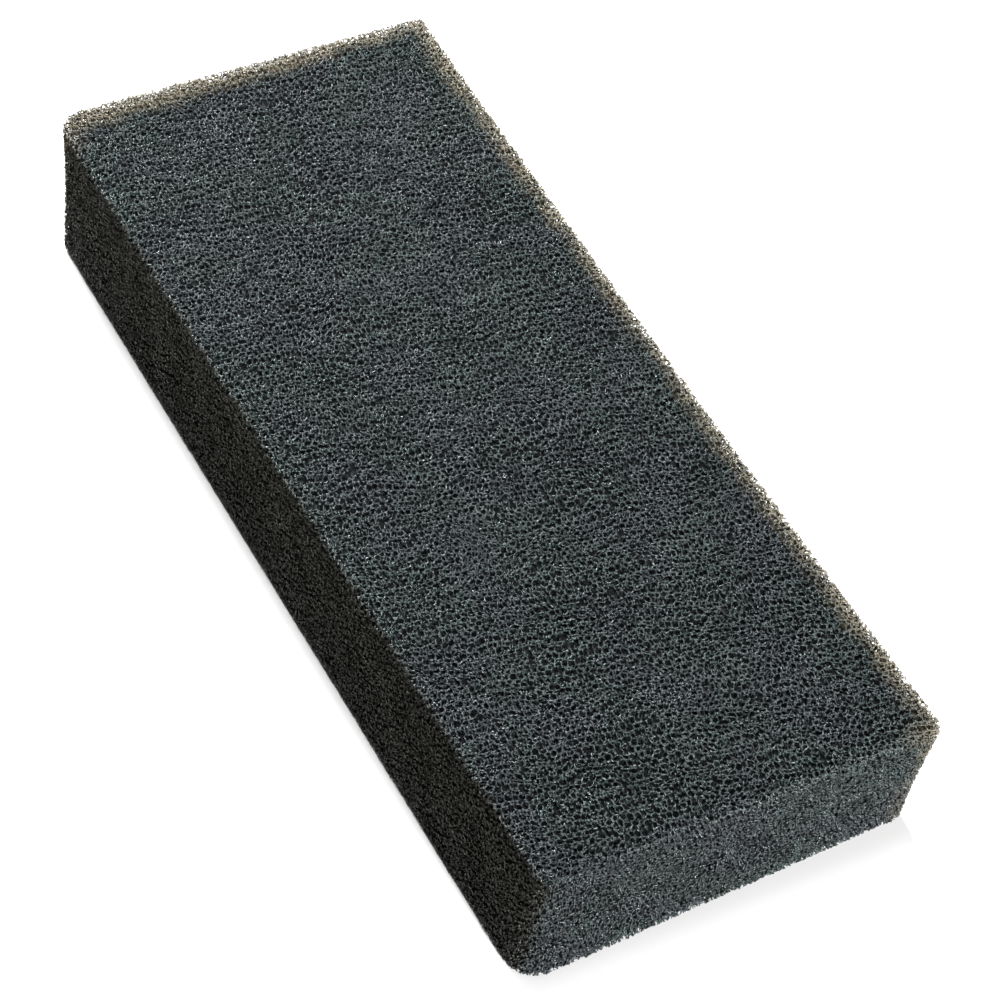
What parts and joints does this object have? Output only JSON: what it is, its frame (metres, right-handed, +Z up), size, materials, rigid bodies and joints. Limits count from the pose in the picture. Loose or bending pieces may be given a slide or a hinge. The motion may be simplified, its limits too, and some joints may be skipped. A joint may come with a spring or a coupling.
{
  "type": "foam air filter element",
  "caption": "Rectangular open-cell foam filter block, pressed into an air cleaner to catch dust on its way to a small engine.",
  "frame": {"origin": "centre of the underside, the sheet face that the block rests on", "axes": "+Y along the length, +X across the width, +Z up through the thickness"},
  "size_m": [0.048, 0.116, 0.02],
  "materials": {
    "foam": "matte open-cell foam"
  },
  "bodies": {
    "root": {"foam_element": "foam"}
  },
  "joints": []
}
